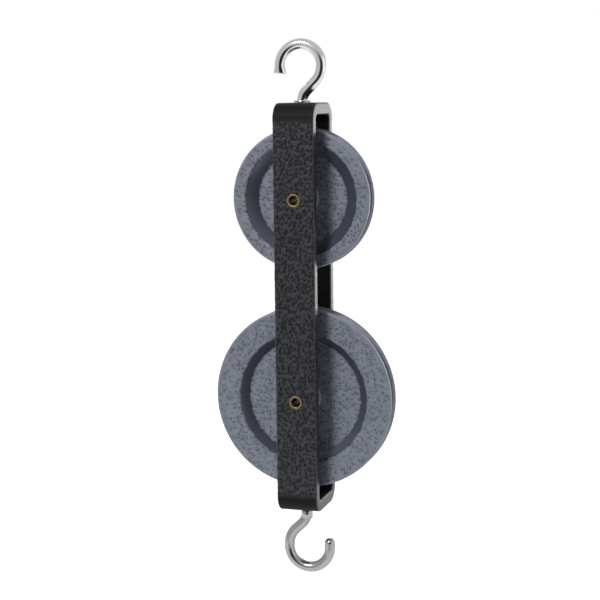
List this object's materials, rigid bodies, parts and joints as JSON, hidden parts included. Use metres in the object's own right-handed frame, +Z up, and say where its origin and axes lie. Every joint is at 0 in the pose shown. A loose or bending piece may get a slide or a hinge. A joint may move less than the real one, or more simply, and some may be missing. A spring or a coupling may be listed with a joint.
{
  "type": "tandem pulley block",
  "caption": "Tandem pulley block: a bent strap frame with a small grooved sheave over a large one, and a swivel hook at each end.",
  "frame": {"origin": "the point inside the crown of the top hook, on the swivel axis, where the hook bears on what the block hangs from", "axes": "+Z up along the swivel axis of both hooks, Y along both axles, X across the faces of the sheaves; the front, -Y, shows the top hook open to the left"},
  "size_m": [0.05, 0.0196, 0.148],
  "materials": {
    "black_powder_coat": "hammertone powder coat on steel strap",
    "hammertone_casting": "blue-grey hammertone enamel on cast metal",
    "brass": "plain turned",
    "plated_wire": "bright nickel plate on steel wire",
    "plated_washer": "zinc plate"
  },
  "bodies": {
    "hanging_hook": {"top_hook": "plated_wire"},
    "frame": {"frame_strap": "black_powder_coat", "small_axle": "brass", "large_axle": "brass", "small_front_spacer": "plated_washer", "small_rear_spacer": "plated_washer", "large_front_spacer": "plated_washer", "large_rear_spacer": "plated_washer", "top_hook_washer": "plated_washer", "bottom_hook_washer": "plated_washer"},
    "upper_wheel": {"small_sheave": "hammertone_casting", "small_sheave_bush": "brass"},
    "lower_wheel": {"large_sheave": "hammertone_casting", "large_sheave_bush": "brass"},
    "load_hook": {"bottom_hook": "plated_wire"}
  },
  "joints": [
    {"name": "top_hook_swivel", "type": "hinge", "parent": "hanging_hook", "child": "frame", "pos_m": [0, 0, -0.0158], "axis": [0, 0, 1], "continuous": true},
    {"name": "small_sheave_spin", "type": "hinge", "parent": "frame", "child": "upper_wheel", "pos_m": [0, 0, -0.04], "axis": [0, 1, 0], "continuous": true},
    {"name": "large_sheave_spin", "type": "hinge", "parent": "frame", "child": "lower_wheel", "pos_m": [0, 0, -0.09475], "axis": [0, 1, 0], "continuous": true},
    {"name": "bottom_hook_swivel", "type": "hinge", "parent": "frame", "child": "load_hook", "pos_m": [0, 0, -0.1242], "axis": [0, 0, 1], "continuous": true}
  ]
}
